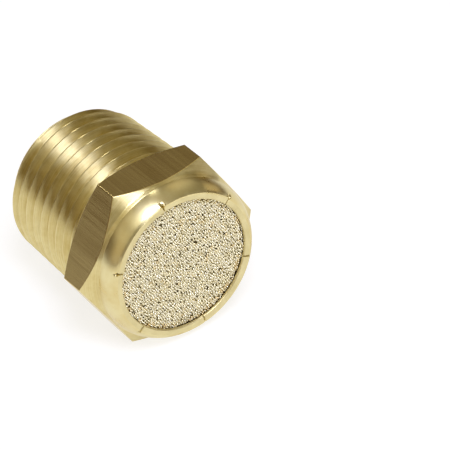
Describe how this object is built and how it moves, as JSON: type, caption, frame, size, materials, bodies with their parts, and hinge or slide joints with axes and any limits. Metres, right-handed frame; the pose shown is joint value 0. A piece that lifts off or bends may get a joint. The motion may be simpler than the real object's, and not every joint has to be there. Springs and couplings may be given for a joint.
{
  "type": "pneumatic muffler",
  "caption": "Flat brass exhaust muffler: hexagon body with a male taper pipe thread and open inlet bore, and a sintered bronze disc held by a rolled, staked lip.",
  "frame": {"origin": "on the axis, at half the overall length", "axes": "Y is the turned axis: the open thread end faces +Y and the sintered disc faces -Y. Two of the hexagon's flats face +Z and -Z, and two of its corners lie on +X and -X."},
  "size_m": [0.0254, 0.0256, 0.022],
  "materials": {
    "turned_brass": "turned and drawn brass, satin to bright, with fine turning lines",
    "sintered_bronze": "fused fine bronze beads, matt, champagne coloured"
  },
  "bodies": {
    "root": {"threaded_body": "turned_brass", "sintered_disc": "sintered_bronze"}
  },
  "joints": []
}
